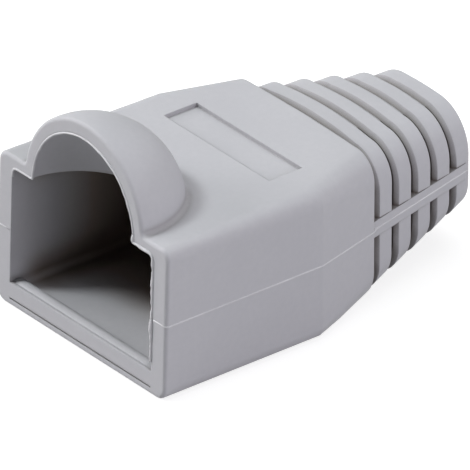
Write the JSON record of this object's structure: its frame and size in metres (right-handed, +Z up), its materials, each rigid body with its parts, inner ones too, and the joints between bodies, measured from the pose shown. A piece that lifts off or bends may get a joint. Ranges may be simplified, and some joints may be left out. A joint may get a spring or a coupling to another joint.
{
  "type": "strain relief boot",
  "caption": "Moulded snagless strain relief boot for a modular network plug, with a latch hood, a rectangular plug socket and a ribbed flex tail around a cable bore.",
  "frame": {"origin": "middle of the underside's bounding rectangle, on the plane the block's flat underside rests on", "axes": "+Y runs from the mouth, where the plug goes in, to the cable end; +Z is up, towards the hood over the plug's latch; +X is across the boot"},
  "size_m": [0.014, 0.0228, 0.0132],
  "materials": {
    "boot": "soft matte, light grey"
  },
  "bodies": {
    "root": {"strain_relief_boot": "boot"}
  },
  "joints": []
}
